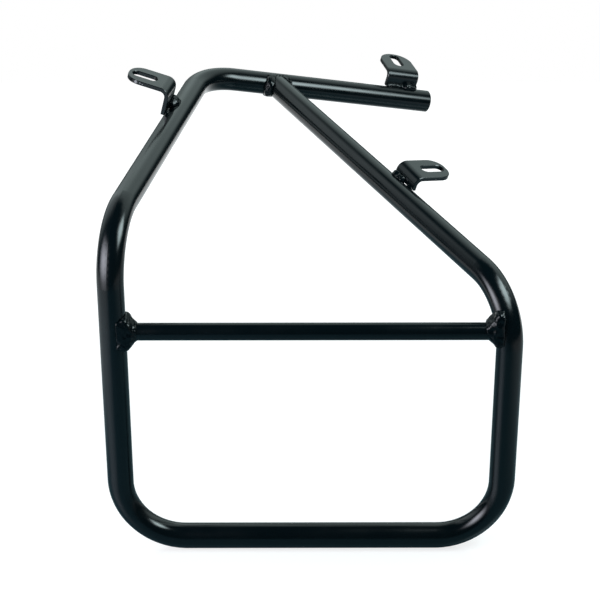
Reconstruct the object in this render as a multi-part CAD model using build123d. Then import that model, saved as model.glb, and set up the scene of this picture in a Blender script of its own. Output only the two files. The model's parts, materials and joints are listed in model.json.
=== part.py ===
from build123d import *
import math
import os

# Side bag carrier of a motorbike: one bent tube, a cross bar, three slotted brackets and their welds.
# Origin in the middle of the bottom bar, on its axis. X runs along that bar, Y inboard to the machine, Z up.

# Main tube
tube_d = 18.0
tube_wall = 2.0
bend_r = 45.0
bend_flat = 0.065
bend_steps = 10
bore_steps = 5
end_break = 0.6

# Bag loop: two uprights on a bottom bar
loop_w = 266.0
left_rise = 231.0
right_rise = 183.0

# Upper part: top corner measured from the left knee, rail end measured from the top corner
corner_side = 47.0
corner_in = 267.5
corner_lift = 33.5
rail_side = 187.0
rail_in = 63.5
rail_drop = 38.5
joint_along = 62.5

# Cross bar between the uprights
cross_d = 12.0
cross_wall = 1.5
cross_z = 158.0

# Root gap left for the welds
weld_gap = 0.3

# Folded plate brackets
plate_t = 3.0
fold_r = 4.0
tab_len = 35.0
slot_w = 8.5
slot_len = 19.5
slot_edge = 2.8
plate_break = 0.4
side_tab_w = 25.0
side_tab_corner = 11.0
rail_tab_w = 28.0
rail_tab_corner = 13.5

# Place of each bracket: along its tube, leg face off the tube's axis, tab face above it
left_along = 184.6
left_off = 7.1
left_high = 26.5
right_along = 149.3
right_off = 5.3
right_high = 18.45
rail_along = 175.4
rail_off = 4.2
rail_high = 22.15

# Welds round the tubes: leg of each bead, start beyond the main tube's axis, shift along it, oval flank
joint_leg = 4.4
joint_root = 1.0
joint_shift = -0.5
joint_flank = 14.0
cross_left_leg = 7.3
cross_left_root = 3.0
cross_left_shift = 0.2
cross_right_leg = 7.5
cross_right_root = 4.7
cross_right_shift = 2.6
cross_flank = 27.0
flank_proud = 0.7
weld_proud = 0.4

# Welds at the roots of the brackets: size and length of each bead, and how far one runs past its leg
left_front_weld = 3.2
left_front_len = 7.0
left_rear_weld = 7.5
left_rear_len = 13.0
left_rear_over = 2.5
right_front_weld = 2.6
right_front_len = 6.0
right_rear_weld = 4.5
right_rear_len = 14.5
rail_weld = 3.0
rail_lump = 5.6
rail_lump_len = 13.0

tube_r = tube_d / 2
cross_r = cross_d / 2

# Corner points of the bent tube, from the open rail end round to the joint under the rail
low_left = Vector(-loop_w / 2, 0, 0)
low_right = Vector(loop_w / 2, 0, 0)
left_knee = low_left + Vector(0, 0, left_rise)
right_knee = low_right + Vector(0, 0, right_rise)
top_corner = left_knee + Vector(corner_side, corner_in, corner_lift)
rail_end = top_corner + Vector(rail_side, rail_in, -rail_drop)
rail_dir = (rail_end - top_corner).normalized()
rail_joint = top_corner + rail_dir * joint_along
corners = [rail_end, top_corner, left_knee, low_left, low_right, right_knee, rail_joint]

# The brackets lie parallel to the plane of the rail and the left stay
left_dir = (top_corner - left_knee).normalized()
right_dir = (rail_joint - right_knee).normalized()
mount_up = rail_dir.cross(left_dir).normalized()


def bend_at(i):
    # centre, start point, inward direction, running direction and angle of the bend at corner i
    into = (corners[i] - corners[i - 1]).normalized()
    out = (corners[i + 1] - corners[i]).normalized()
    angle = math.acos(into.dot(out))
    start = corners[i] - into * (bend_r * math.tan(angle / 2))
    inward = (out - into * into.dot(out)).normalized()
    return start + inward * bend_r, start, inward, into, angle


def bend_end(i):
    centre, start, inward, into, angle = bend_at(i)
    return centre + (into * math.sin(angle) - inward * math.cos(angle)) * bend_r


def round_bar(a, b, radius):
    return extrude(Plane(origin=a, z_dir=b - a) * Circle(radius), (b - a).length)


def run_solid(i, radius):
    # straight run from corner i to the next one
    a = corners[0] if i == 0 else bend_end(i)
    b = corners[-1] if i == len(corners) - 2 else bend_at(i + 1)[1]
    return round_bar(a, b, radius)


def bend_solid(i, radius, bore=False):
    # bend at corner i, a little flattened between its tangent points; the unseen bore turns in plain steps
    centre, start, inward, into, angle = bend_at(i)
    steps = bore_steps if bore else bend_steps
    sections = []
    for k in range(steps + 1):
        turn = angle * k / steps
        outward = into * math.sin(turn) - inward * math.cos(turn)
        ahead = into * math.cos(turn) + inward * math.sin(turn)
        where = Plane(origin=centre + outward * bend_r, x_dir=outward, z_dir=ahead)
        if k in (0, steps):
            sections.append(where * Circle(radius))
        else:
            pressed = tube_r * bend_flat * math.sin(math.pi * k / steps)
            sections.append(where * Ellipse(radius - pressed, radius + pressed / 2))
    return loft(sections, ruled=bore)


def joint_cutter(radius):
    reach = rail_dir * (tube_d * 2)
    return round_bar(rail_joint - reach, rail_joint + reach, radius)


def bent_tube(radius, bore=False):
    # whole bent tube as a filled bar, its last run coped to the rail
    last = len(corners) - 2
    body = run_solid(0, radius)
    for i in range(1, last + 1):
        body = body + bend_solid(i, radius, bore)
        run = run_solid(i, radius)
        if i == last:
            run = run - joint_cutter(tube_r + weld_gap)
        body = body + run
    return body


# Main tube: one piece, hollow, open at the rail end
tube_bar = bent_tube(tube_r)
tube_core = bent_tube(tube_r - tube_wall, bore=True)
main_tube = tube_bar - tube_core
rim = main_tube.edges().filter_by(GeomType.CIRCLE).sort_by_distance(rail_end)[0:2]
main_tube = chamfer(rim, end_break)


# Cross bar: a thinner tube coped to both uprights
def knee_cutter():
    grown = tube_r + weld_gap
    left = run_solid(2, grown)
    right = run_solid(4, grown) + bend_solid(5, grown)
    return left + right


cross_a = Vector(-loop_w / 2, 0, cross_z)
cross_b = Vector(loop_w / 2, 0, cross_z)
cross_bar = round_bar(cross_a, cross_b, cross_r) - round_bar(cross_a, cross_b, cross_r - cross_wall)
cross_bar = cross_bar - knee_cutter()


# Brackets
def bracket(foot, along, side, width, corner, off, high):
    # folded plate: tab along X with its face at Z 0, leg hanging at X 0, then set on the tube
    outer_r = fold_r + plate_t
    leg_edge = max(0.0, off) if off > -plate_t else -off - plate_t
    sit = math.sqrt(max((tube_r + weld_gap) ** 2 - leg_edge**2, 0.0))
    leg = high - sit
    outer = [(tab_len, 0), (0, 0), (0, -leg)]
    inside = [(plate_t, -leg), (plate_t, -plate_t), (tab_len, -plate_t)]
    profile = Polyline(*outer, *inside, close=True)
    plate = extrude(make_face(Plane.XZ * profile), width / 2, both=True)
    folds = plate.edges().filter_by(Axis.Y)
    plate = fillet(folds.sort_by_distance((0, 0, 0))[0], outer_r)
    inner = plate.edges().filter_by(Axis.Y).sort_by_distance((plate_t, 0, -plate_t))[0]
    plate = fillet(inner, fold_r)
    tips = plate.edges().filter_by(Axis.Z).group_by(Axis.X)[-1]
    plate = fillet(tips, corner)
    far = tab_len - slot_edge - slot_len / 2
    slot = Pos(far, 0, -plate_t / 2) * extrude(SlotOverall(slot_len, slot_w), plate_t, both=True)
    plate = plate - slot
    # break the outer face's edges, all but the line where the fold starts
    rims = plate.faces().sort_by(Axis.Z)[-1].edges().sort_by(Axis.X)[1:]
    plate = chamfer(rims, plate_break)
    across = along - mount_up * along.dot(mount_up)
    reach = across.normalized().cross(mount_up)
    if reach.dot(side) < 0:
        reach = reach * -1
    seat = Plane(origin=foot + mount_up * high + reach * off, x_dir=reach, z_dir=mount_up)
    span = along * width
    return seat * plate - round_bar(foot - span, foot + span, tube_r + weld_gap), seat, leg


left_foot = left_knee + left_dir * left_along
right_foot = right_knee + right_dir * right_along
rail_foot = top_corner + rail_dir * rail_along
left_args = (left_foot, left_dir, Vector(-1, 0, 0), side_tab_w, side_tab_corner, left_off, left_high)
right_args = (right_foot, right_dir, Vector(1, 0, 0), side_tab_w, side_tab_corner, right_off, right_high)
rail_args = (rail_foot, rail_dir, Vector(0, 1, 0), rail_tab_w, rail_tab_corner, rail_off, rail_high)
left_bracket, left_seat, left_leg = bracket(*left_args)
right_bracket, right_seat, right_leg = bracket(*right_args)
rail_bracket, rail_seat, rail_leg = bracket(*rail_args)


# Welds: fillet beads, cut back to the metal they lie on
def cut_back(bead, *metal):
    for piece in metal:
        bead = bead - piece
    return bead.solids().sort_by(SortBy.VOLUME)[-1]


def collar(centre, axis, main_dir, branch_r, leg, root, shift, flank):
    # bead round a branch that stands on the main tube: a turned cone, trimmed to an oval along that tube
    toe = tube_r + leg
    tip_r = branch_r + weld_proud
    foot_r = branch_r + leg
    half = Polyline((0, root), (foot_r, root), (foot_r, tube_r), (tip_r, toe), (0, toe), close=True)
    turned = revolve(make_face(Plane.XZ * half), Axis.Z)
    along = (main_dir - axis * axis.dot(main_dir)).normalized()
    cone = Plane(origin=centre + along * shift, x_dir=along, z_dir=axis) * turned
    flank_w = (math.sqrt(tube_r**2 - root**2) + flank_proud) / math.sqrt(1 - (root / flank) ** 2)
    oval = Plane(origin=centre, x_dir=axis, z_dir=along) * Ellipse(flank, flank_w)
    return cone & extrude(oval, foot_r + tube_d, both=True)


# Weld round the joint under the rail, fuller on its left
joint_sizes = (tube_r, joint_leg, joint_root, joint_shift, joint_flank)
joint_bead = collar(rail_joint, right_dir * -1, rail_dir, *joint_sizes)
weld_joint = cut_back(joint_bead, run_solid(0, tube_r), run_solid(5, tube_r))

# Welds at the ends of the cross bar, the right one fuller on top
left_sizes = (cross_r, cross_left_leg, cross_left_root, cross_left_shift, cross_flank)
right_sizes = (cross_r, cross_right_leg, cross_right_root, cross_right_shift, cross_flank)
left_bead = collar(cross_a, Vector(1, 0, 0), Vector(0, 0, 1), *left_sizes)
right_bead = collar(cross_b, Vector(-1, 0, 0), Vector(0, 0, 1), *right_sizes)
cross_core = round_bar(cross_a, cross_b, cross_r)
weld_cross_left = cut_back(left_bead, run_solid(2, tube_r), cross_core)
weld_cross_right = cut_back(right_bead, run_solid(4, tube_r), bend_solid(5, tube_r), cross_core)


# Welds along the root of each bracket's leg, on its outer face: runs of first and last point and size
def leg_weld(seat, leg, along, tube, *runs):
    root = seat.origin - seat.z_dir * leg
    across = seat.y_dir if seat.y_dir.dot(along) > 0 else seat.y_dir * -1
    bead = Part()
    for first, last, size in runs:
        bar = round_bar(root + across * first, root + across * last, size)
        bead = bead + chamfer(bar.edges().filter_by(GeomType.CIRCLE), size / 2)
    outside = Plane(origin=root, x_dir=across, z_dir=seat.x_dir * -1)
    return cut_back(split(bead, bisect_by=outside, keep=Keep.TOP), tube)


side_end = side_tab_w / 2
rail_side_end = rail_tab_w / 2
left_root = (left_seat, left_leg, left_dir, run_solid(1, tube_r))
right_root = (right_seat, right_leg, right_dir, run_solid(5, tube_r))
rail_root = (rail_seat, rail_leg, rail_dir, run_solid(0, tube_r))
weld_left_front = leg_weld(*left_root, (-side_end, left_front_len - side_end, left_front_weld))
left_rear_end = side_end + left_rear_over
weld_left_rear = leg_weld(*left_root, (left_rear_end - left_rear_len, left_rear_end, left_rear_weld))
weld_right_front = leg_weld(*right_root, (-side_end, right_front_len - side_end, right_front_weld))
weld_right_rear = leg_weld(*right_root, (side_end - right_rear_len, side_end, right_rear_weld))
rail_run = (-rail_side_end, rail_side_end, rail_weld)
rail_end_run = (rail_side_end - rail_lump_len, rail_side_end, rail_lump)
weld_rail = leg_weld(*rail_root, rail_run, rail_end_run)

pieces = {
    "main_tube": main_tube,
    "cross_bar": cross_bar,
    "left_bracket": left_bracket,
    "right_bracket": right_bracket,
    "rail_bracket": rail_bracket,
    "weld_joint": weld_joint,
    "weld_cross_left": weld_cross_left,
    "weld_cross_right": weld_cross_right,
    "weld_left_front": weld_left_front,
    "weld_left_rear": weld_left_rear,
    "weld_right_front": weld_right_front,
    "weld_right_rear": weld_right_rear,
    "weld_rail": weld_rail,
}

os.makedirs("parts", exist_ok=True)
for name, shape in pieces.items():
    export_step(shape, f"parts/{name}.step")
    print(name, len(shape.solids()), round(shape.volume, 1))
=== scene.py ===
import bmesh
import bpy
import json
import math
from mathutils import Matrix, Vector, noise


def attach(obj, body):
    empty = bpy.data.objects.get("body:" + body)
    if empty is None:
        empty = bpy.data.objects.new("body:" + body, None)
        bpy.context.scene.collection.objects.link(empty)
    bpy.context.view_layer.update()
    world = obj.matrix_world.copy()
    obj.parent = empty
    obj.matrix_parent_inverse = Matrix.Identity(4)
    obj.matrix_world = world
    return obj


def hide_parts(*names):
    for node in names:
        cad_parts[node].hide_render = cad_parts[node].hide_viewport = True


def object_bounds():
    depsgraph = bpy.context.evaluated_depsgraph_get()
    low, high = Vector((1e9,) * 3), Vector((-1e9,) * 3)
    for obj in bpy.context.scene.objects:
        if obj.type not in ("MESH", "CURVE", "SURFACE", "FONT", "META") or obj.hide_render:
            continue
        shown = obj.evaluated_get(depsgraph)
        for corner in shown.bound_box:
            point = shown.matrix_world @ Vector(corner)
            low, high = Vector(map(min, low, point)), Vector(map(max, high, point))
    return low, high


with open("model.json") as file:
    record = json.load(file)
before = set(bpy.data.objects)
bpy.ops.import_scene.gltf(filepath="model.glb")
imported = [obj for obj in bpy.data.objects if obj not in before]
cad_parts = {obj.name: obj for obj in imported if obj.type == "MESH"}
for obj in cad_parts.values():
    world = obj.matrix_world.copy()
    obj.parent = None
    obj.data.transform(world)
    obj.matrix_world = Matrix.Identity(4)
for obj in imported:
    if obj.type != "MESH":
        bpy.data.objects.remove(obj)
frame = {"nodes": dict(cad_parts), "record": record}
cadLow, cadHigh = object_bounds()
nodes = frame["nodes"]
print("frame loaded:", len(nodes), "nodes")


# view: a long lens, a little above the frame and square to its bag loop
view = dict(
    place=(-0.0093, -0.9207, 0.5663),
    pitch=22.72,
    yaw=-0.11,
    roll=0.04,
    lens=90.34,
    sensor=36.0,
    near=0.05,
)


def makeCamera():
    data = bpy.data.cameras.new("camera")
    data.lens = view["lens"]
    data.sensor_width = view["sensor"]
    data.clip_start = view["near"]
    camera = bpy.data.objects.new("camera", data)
    camera.location = view["place"]
    camera.rotation_euler = [math.radians(a) for a in (90 - view["pitch"], view["roll"], view["yaw"])]
    bpy.context.scene.collection.objects.link(camera)
    bpy.context.scene.camera = camera


makeCamera()
print("camera set")


# small helpers for node trees
def addNode(tree, kind, inputs=None):
    made = tree.nodes.new("ShaderNode" + kind)
    for name, value in (inputs or {}).items():
        made.inputs[name].default_value = value
    return made


def feed(tree, socket, value):
    if isinstance(value, (int, float, tuple)):
        socket.default_value = value
    else:
        tree.links.new(value, socket)


def calc(tree, operation, a, b):
    made = addNode(tree, "Math")
    made.operation = operation
    feed(tree, made.inputs[0], a)
    feed(tree, made.inputs[1], b)
    return made.outputs[0]


def ramp(tree, value, low, high, toLow=0.0, toHigh=1.0):
    made = addNode(tree, "MapRange", {"From Min": low, "From Max": high, "To Min": toLow, "To Max": toHigh})
    made.interpolation_type = "SMOOTHSTEP"
    feed(tree, made.inputs["Value"], value)
    return made.outputs["Result"]


def blend(tree, kind, factor, a, b):
    made = addNode(tree, "Mix")
    made.data_type = kind
    first, second = [s for s in made.inputs if s.enabled and s.name in ("A", "B")]
    tree.links.new(factor, made.inputs["Factor"])
    feed(tree, first, a)
    feed(tree, second, b)
    return next(s for s in made.outputs if s.enabled)


def addUp(tree, first, second):
    made = addNode(tree, "AddShader")
    tree.links.new(first.outputs[0], made.inputs[0])
    tree.links.new(second.outputs[0], made.inputs[1])
    return made


def seenRay(tree, path):
    return calc(tree, "MAXIMUM", path.outputs["Is Camera Ray"], path.outputs["Is Transmission Ray"])


# studio: two near soft boxes, two pale cards, a backdrop seen in the gloss, a pale floor
studio = dict(
    boxes=dict(
        leftBox=dict(place=(-0.524, -0.288, 0.35), aim=(-0.13, 0.02, 0.31), width=0.9, height=0.7, soft=(0.5, 0.5),
                     level=9.0, tint=(0.88, 0.9, 1.0)),
        rightBox=dict(place=(0.42, -0.1, 0.63), aim=(0.0, 0.15, 0.22), width=0.6, height=0.5, soft=(0.35, 0.4),
                      level=10.5, tint=(0.8, 0.98, 1.0)),
        leftCard=dict(place=(-0.6, 0.66, 0.68), aim=(0.06, 0.45, 0.45), width=1.3, height=1.3, soft=(0.35, 0.35),
                      level=0.8, tint=(0.86, 0.98, 1.0)),
        backCard=dict(place=(-0.24, 0.75, 0.5), aim=(-0.1, 0.15, 0.24), width=0.8, height=0.9, soft=(0.4, 0.4),
                      level=0.38, tint=(0.86, 1.0, 0.98)),
    ),
    roomLevel=0.03,
    roomTint=(0.5, 0.95, 1.0, 1),
    backdrop=dict(azimuth=30, elevation=34, full=18, none=50, level=0.85),  # angles in degrees
    backdropFoot=(2, 22),  # fades in above the floor
    backdropTop=(56, 72),  # and out overhead
    backdropTint=(0.82, 1.0, 0.98, 1),
    floorLow=(-1.3, -0.9),
    floorHigh=(1.3, 1.3),
    floorColour=(0.32, 0.32, 0.32, 1),
    floorMirrored=(0.11, 0.22, 0.26, 1),  # its colour in the gloss
    floorRough=0.2,
    floorLift=0.78,  # near the frame
    floorWhite=(0.25, 0.6),  # from there out to full white
    floorGloss=1.1,  # its glow in the gloss: at the back, on the right, on the left
    floorGlossY=(0.25, 0.8),
    floorRight=0.3,
    floorRightX=(0.1, 0.6),
    floorLeft=0.5,
    floorLeftX=(-0.2, -0.5),
)


def heading(azimuth, elevation):
    a, e = math.radians(azimuth), math.radians(elevation)
    return Vector((math.sin(a) * math.cos(e), math.cos(a) * math.cos(e), math.sin(e)))


def addSoftBox(name, box):
    lamp = bpy.data.lights.new(name, "AREA")
    lamp.shape = "RECTANGLE"
    lamp.size = box["width"]
    lamp.size_y = box["height"]
    lamp.energy = box["level"] * math.pi * box["width"] * box["height"]
    lamp.color = box["tint"]
    # the cloth of a soft box fades towards its rim
    lamp.use_nodes = True
    tree = lamp.node_tree
    cloth = addNode(tree, "SeparateXYZ")
    tree.links.new(addNode(tree, "NewGeometry").outputs["Parametric"], cloth.inputs[0])
    fade = 1.0
    for axis, soft in zip("XY", box["soft"]):
        rim = calc(tree, "PINGPONG", cloth.outputs[axis], 0.5)  # 0 at the rim, 0.5 in the middle
        fade = calc(tree, "MULTIPLY", ramp(tree, rim, 0.0, soft), fade)
    tree.links.new(fade, tree.nodes["Emission"].inputs["Strength"])
    away = Vector(box["place"]) - Vector(box["aim"])
    holder = bpy.data.objects.new(name, lamp)
    holder.location = box["place"]
    holder.rotation_euler = away.to_track_quat("Z", "Y").to_euler()
    holder.visible_camera = False
    bpy.context.scene.collection.objects.link(holder)


def lobe(tree, direction, aim):
    facing = addNode(tree, "VectorMath")
    facing.operation = "DOT_PRODUCT"
    facing.inputs[1].default_value = heading(aim["azimuth"], aim["elevation"])
    tree.links.new(direction, facing.inputs[0])
    edge = [math.cos(math.radians(aim[k])) for k in ("none", "full")]
    return ramp(tree, facing.outputs["Value"], *edge, toHigh=aim["level"])


def makeWorld():
    world = bpy.data.worlds.new("studio room")
    bpy.context.scene.world = world
    world.use_nodes = True
    tree = world.node_tree
    tree.nodes.clear()
    out = addNode(tree, "OutputWorld")
    path = addNode(tree, "LightPath")
    direction = addNode(tree, "TexCoord").outputs["Generated"]
    parts = addNode(tree, "SeparateXYZ")
    tree.links.new(direction, parts.inputs[0])
    foot = [math.sin(math.radians(a)) for a in studio["backdropFoot"]]
    top = [math.sin(math.radians(a)) for a in studio["backdropTop"]]
    shade = ramp(tree, parts.outputs["Z"], *top, toLow=1.0, toHigh=0.0)
    shade = calc(tree, "MULTIPLY", shade, ramp(tree, parts.outputs["Z"], *foot))
    mirrored = calc(tree, "MULTIPLY", lobe(tree, direction, studio["backdrop"]), shade)
    seen = seenRay(tree, path)
    plain = addNode(tree, "Background", {"Color": (1, 1, 1, 1)})
    tree.links.new(seen, plain.inputs["Strength"])
    room = addNode(tree, "Background", {"Color": studio["roomTint"]})
    unseen = calc(tree, "SUBTRACT", 1.0, seen)
    tree.links.new(calc(tree, "MULTIPLY", unseen, studio["roomLevel"]), room.inputs["Strength"])
    gloss = addNode(tree, "Background", {"Color": studio["backdropTint"]})
    tree.links.new(calc(tree, "MULTIPLY", path.outputs["Is Glossy Ray"], mirrored), gloss.inputs["Strength"])
    glow = addUp(tree, addUp(tree, plain, room), gloss)
    tree.links.new(glow.outputs[0], out.inputs["Surface"])


def makeFloor():
    low, high = studio["floorLow"], studio["floorHigh"]
    mesh = bpy.data.meshes.new("floor")
    floor = bpy.data.objects.new("floor", mesh)
    bm = bmesh.new()
    bmesh.ops.create_grid(bm, x_segments=1, y_segments=1, size=0.5)  # a metre square, then stretched
    middle = Vector(((low[0] + high[0]) / 2, (low[1] + high[1]) / 2, cadLow.z))
    spread = (high[0] - low[0], high[1] - low[1], 1)
    bmesh.ops.scale(bm, vec=spread, verts=bm.verts)
    bmesh.ops.translate(bm, vec=middle, verts=bm.verts)
    bm.to_mesh(mesh)
    bm.free()
    bpy.context.scene.collection.objects.link(floor)
    paint = bpy.data.materials.new("pale floor")
    paint.use_nodes = True
    tree = paint.node_tree
    tree.nodes.clear()
    out = addNode(tree, "OutputMaterial")
    path = addNode(tree, "LightPath")
    where = addNode(tree, "SeparateXYZ")
    place = addNode(tree, "TexCoord").outputs["Object"]
    tree.links.new(place, where.inputs[0])
    matt = addNode(tree, "BsdfPrincipled", {"Roughness": studio["floorRough"]})
    tone = blend(tree, "RGBA", path.outputs["Is Glossy Ray"], studio["floorColour"], studio["floorMirrored"])
    tree.links.new(tone, matt.inputs["Base Color"])
    lift = addNode(tree, "Emission")
    # white out to the horizon, a little less close to the frame so that its shadow shows
    away = addNode(tree, "VectorMath")
    away.operation = "LENGTH"
    tree.links.new(place, away.inputs[0])
    white = ramp(tree, away.outputs["Value"], *studio["floorWhite"], toLow=studio["floorLift"])
    seen = seenRay(tree, path)
    plain = calc(tree, "MULTIPLY", seen, white)
    back = ramp(tree, where.outputs["Y"], *studio["floorGlossY"], toHigh=studio["floorGloss"])
    right = ramp(tree, where.outputs["X"], *studio["floorRightX"], toHigh=studio["floorRight"])
    left = ramp(tree, where.outputs["X"], *studio["floorLeftX"], toHigh=studio["floorLeft"])
    sides = calc(tree, "MAXIMUM", left, right)
    gloss = calc(tree, "MULTIPLY", path.outputs["Is Glossy Ray"], calc(tree, "MAXIMUM", back, sides))
    tree.links.new(calc(tree, "ADD", plain, gloss), lift.inputs["Strength"])
    tree.links.new(addUp(tree, matt, lift).outputs[0], out.inputs["Surface"])
    mesh.materials.append(paint)


for name, box in studio["boxes"].items():
    addSoftBox(name, box)
makeWorld()
makeFloor()
bpy.context.scene.view_settings.view_transform = "Standard"
print("studio lit")


# black powder coat, one recipe for tube, plate and bead; the spots are pale grey rough spots on the left tab's front
# edge, each with its radius
coats = dict(
    tube_coat=dict(colour=(0.001, 0.0034, 0.0048, 1), rough=0.18, spread=0.04, peel=1300, depth=0.000006, gloss=0.5,
                   paleSpots=[]),
    # the bracket coat has three pale grey spots on the left tab's front edge
    bracket_coat=dict(colour=(0.001, 0.0034, 0.0048, 1), rough=0.2, spread=0.04, peel=1300, depth=0.000006, gloss=0.6,
                      paleSpots=[(-0.1289, 0.1687, 0.2851, 0.0013), (-0.1256, 0.1686, 0.2842, 0.0006),
                             (-0.1239, 0.1683, 0.2837, 0.0004)]),
    weld_coat=dict(colour=(0.001, 0.0032, 0.0045, 1), rough=0.16, spread=0.05, peel=1000, depth=0.00001, gloss=0.3,
                   paleSpots=[]),
)
# slow drift of the gloss, fine grain of the powder, the pale grey look of the spots
glossDrift = dict(scale=45.0, detail=3.0, span=(0.3, 0.7))
powder = dict(detail=3.0, rough=0.6)
spotLook = dict(colour=(0.3, 0.3, 0.31, 1), rough=0.5, grain=1400, detail=2.0, ragged=0.0028, core=0.7)


def paleSpotMask(tree, where, paleSpots):
    # mask of the pale grey spots, each a disc with a ragged rim round a given point
    grain = addNode(tree, "TexNoise", {"Scale": spotLook["grain"], "Detail": spotLook["detail"]})
    tree.links.new(where, grain.inputs["Vector"])
    evened = calc(tree, "SUBTRACT", grain.outputs["Fac"], 0.5)  # to both sides of 0
    wander = calc(tree, "MULTIPLY", evened, spotLook["ragged"])
    mask = 0.0
    for *spot, size in paleSpots:
        gap = addNode(tree, "VectorMath")
        gap.operation = "DISTANCE"
        gap.inputs[1].default_value = spot
        tree.links.new(where, gap.inputs[0])
        ragged = calc(tree, "ADD", gap.outputs["Value"], wander)
        near = ramp(tree, ragged, size * spotLook["core"], size, toLow=1.0, toHigh=0.0)
        mask = calc(tree, "MAXIMUM", mask, near)
    return mask


def makeCoat(name, look):
    paint = bpy.data.materials.new(name)
    paint.use_nodes = True
    tree = paint.node_tree
    shader = tree.nodes["Principled BSDF"]
    shader.inputs["Base Color"].default_value = look["colour"]
    shader.inputs["Specular IOR Level"].default_value = look["gloss"]
    where = addNode(tree, "TexCoord").outputs["Object"]
    # slow drift of the gloss along the metal
    drift = addNode(tree, "TexNoise", {"Scale": glossDrift["scale"], "Detail": glossDrift["detail"]})
    tree.links.new(where, drift.inputs["Vector"])
    span = (look["rough"] - look["spread"], look["rough"] + look["spread"])
    rough = ramp(tree, drift.outputs["Fac"], *glossDrift["span"], *span)
    # where the spot mask is set, the coat turns pale grey and rougher
    if look["paleSpots"]:
        mask = paleSpotMask(tree, where, look["paleSpots"])
        tree.links.new(blend(tree, "RGBA", mask, look["colour"], spotLook["colour"]), shader.inputs["Base Color"])
        rough = blend(tree, "FLOAT", mask, rough, spotLook["rough"])
    tree.links.new(rough, shader.inputs["Roughness"])
    # fine grain of the baked powder
    grain = {"Scale": look["peel"], "Detail": powder["detail"], "Roughness": powder["rough"]}
    peel = addNode(tree, "TexNoise", grain)
    tree.links.new(where, peel.inputs["Vector"])
    bump = addNode(tree, "Bump", {"Distance": look["depth"]})
    tree.links.new(peel.outputs["Fac"], bump.inputs["Height"])
    tree.links.new(bump.outputs["Normal"], shader.inputs["Normal"])
    return paint


paints = {slot: makeCoat(slot, look) for slot, look in coats.items()}
for row in frame["record"]["subparts"]:
    piece = nodes[row["node"]]
    piece.data.materials.clear()
    piece.data.materials.append(paints[row["material_slot"]])
print("coats made")


# weld beads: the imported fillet, swollen or drawn in a little, melted round and set in lumps of three sizes;
# the two on the cross bar get thinner away from the uprights
beads = dict(
    voxel=0.00042,
    merge=0.000001,
    lumps=((0.005, 0.0005), (0.0025, 0.0004), (0.0012, 0.0001)),  # width, height
    plain=dict(swell=0.0003, melt=30),
    weld_joint=dict(swell=-0.0002, melt=45),
    weld_cross_left=dict(swell=0.0005, melt=90, slope=0.0045),
    weld_cross_right=dict(swell=0.0005, melt=110, slope=0.006),
    crossHigh=0.158,  # the cross bar's axis
    crossRadius=0.006,
    thin=0.4,  # share left at the thin end
)


def slopeBead(mesh, run):
    # the thin end is the one nearer the middle of the cross bar
    end = min(abs(v.co.x) for v in mesh.vertices)
    for v in mesh.vertices:
        out = Vector((0, v.co.y, v.co.z - beads["crossHigh"]))
        proud = max(0.0, out.length - beads["crossRadius"])
        keep = min(1.0, beads["thin"] + (1 - beads["thin"]) * (abs(v.co.x) - end) / run)
        v.co -= out.normalized() * proud * (1 - keep)
    mesh.update()


def pourBead(name):
    shape = beads.get(name, beads["plain"])
    bm = bmesh.new()
    bm.from_mesh(nodes[name].data)
    bmesh.ops.remove_doubles(bm, verts=bm.verts, dist=beads["merge"])
    bm.normal_update()
    for v in bm.verts:
        v.co += v.normal * shape["swell"]
    mesh = bpy.data.meshes.new("fillet")
    bm.to_mesh(mesh)
    bm.free()
    raw = bpy.data.objects.new("fillet", mesh)
    bpy.context.scene.collection.objects.link(raw)
    pour = raw.modifiers.new("pour", "REMESH")
    pour.mode = "VOXEL"
    pour.voxel_size = beads["voxel"]
    melt = raw.modifiers.new("melt", "SMOOTH")
    melt.iterations = shape["melt"]
    baked = bpy.data.meshes.new_from_object(raw.evaluated_get(bpy.context.evaluated_depsgraph_get()))
    bpy.data.objects.remove(raw)
    if "slope" in shape:
        slopeBead(baked, shape["slope"])
    moved = []
    for v in baked.vertices:
        lift = sum(noise.noise(v.co / size) * height for size, height in beads["lumps"])
        spot = v.co + v.normal * lift
        moved.extend(min(max(c, a), b) for c, a, b in zip(spot, cadLow, cadHigh))
    baked.vertices.foreach_set("co", moved)
    baked.update()
    baked.shade_smooth()
    baked.materials.clear()
    baked.materials.append(paints["weld_coat"])
    piece = bpy.data.objects.new(name + "_bead", baked)
    bpy.context.scene.collection.objects.link(piece)
    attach(piece, "root")
    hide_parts(name)
    return len(baked.polygons)


for row in frame["record"]["subparts"]:
    if row["material_slot"] == "weld_coat":
        print("bead", row["node"], pourBead(row["node"]), "faces")
